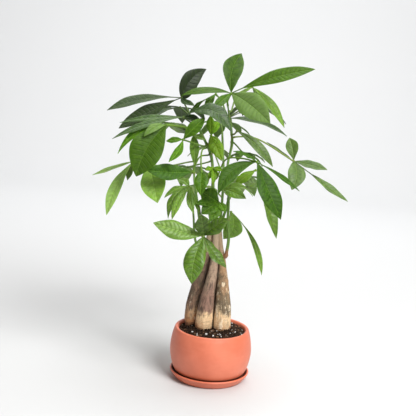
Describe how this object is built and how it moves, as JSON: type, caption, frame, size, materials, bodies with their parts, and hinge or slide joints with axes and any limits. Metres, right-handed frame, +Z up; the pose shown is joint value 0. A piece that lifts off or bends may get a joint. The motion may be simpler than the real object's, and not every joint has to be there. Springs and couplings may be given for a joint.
{
  "type": "potted money tree",
  "caption": "Small indoor tree with several stems standing together in a round terracotta pot on a saucer, crowned with palmate leaves on long stalks.",
  "frame": {"origin": "middle of the saucer's flat underside, where the plant rests", "axes": "+Z up along the stems, -Y towards the front that the picture shows, +X to that viewer's right"},
  "size_m": [0.3824, 0.2546, 0.496],
  "materials": {
    "terracotta": "matte, slightly satin orange-red terracotta",
    "soil": "damp dark crumbly potting mix",
    "bark": "dry bark, tan near the soil and grey-brown above",
    "green_stem": "smooth green shoot",
    "leaf_dark": "satin, very dark green",
    "leaf_mid": "satin green",
    "leaf_light": "satin light green",
    "leaf_fresh": "satin yellow-green, of new growth"
  },
  "bodies": {
    "root": {"saucer": "terracotta", "pot": "terracotta", "soil": "soil", "trunk_1": "bark", "trunk_2": "bark", "trunk_3": "bark", "trunk_4": "bark", "trunk_5": "bark", "shoot_1": "green_stem", "shoot_2": "green_stem", "shoot_3": "green_stem", "shoot_4": "green_stem", "shoot_5": "green_stem", "shoot_6": "green_stem", "shoot_7": "green_stem", "leaf_01": "leaf_mid", "leaf_02": "leaf_light", "leaf_03": "leaf_dark", "leaf_04": "leaf_dark", "leaf_05": "leaf_mid", "leaf_06": "leaf_dark", "leaf_07": "leaf_mid", "leaf_08": "leaf_light", "leaf_09": "leaf_mid", "leaf_10": "leaf_light", "leaf_11": "leaf_mid", "leaf_12": "leaf_light", "leaf_13": "leaf_light", "leaf_14": "leaf_mid", "leaf_15": "leaf_mid", "leaf_16": "leaf_fresh", "leaf_17": "leaf_fresh", "leaf_18": "leaf_light", "leaf_19": "leaf_light", "leaf_20": "leaf_light", "leaf_21": "leaf_fresh", "leaf_22": "leaf_light", "leaf_23": "leaf_mid", "leaf_24": "leaf_mid", "leaf_25": "leaf_mid", "leaf_26": "leaf_dark", "leaf_27": "leaf_mid", "leaf_28": "leaf_mid", "leaf_29": "leaf_dark", "leaf_30": "leaf_mid", "leaf_31": "leaf_mid", "leaf_32": "leaf_mid", "leaf_33": "leaf_light", "leaf_34": "leaf_light", "leaf_35": "leaf_light"}
  },
  "joints": []
}
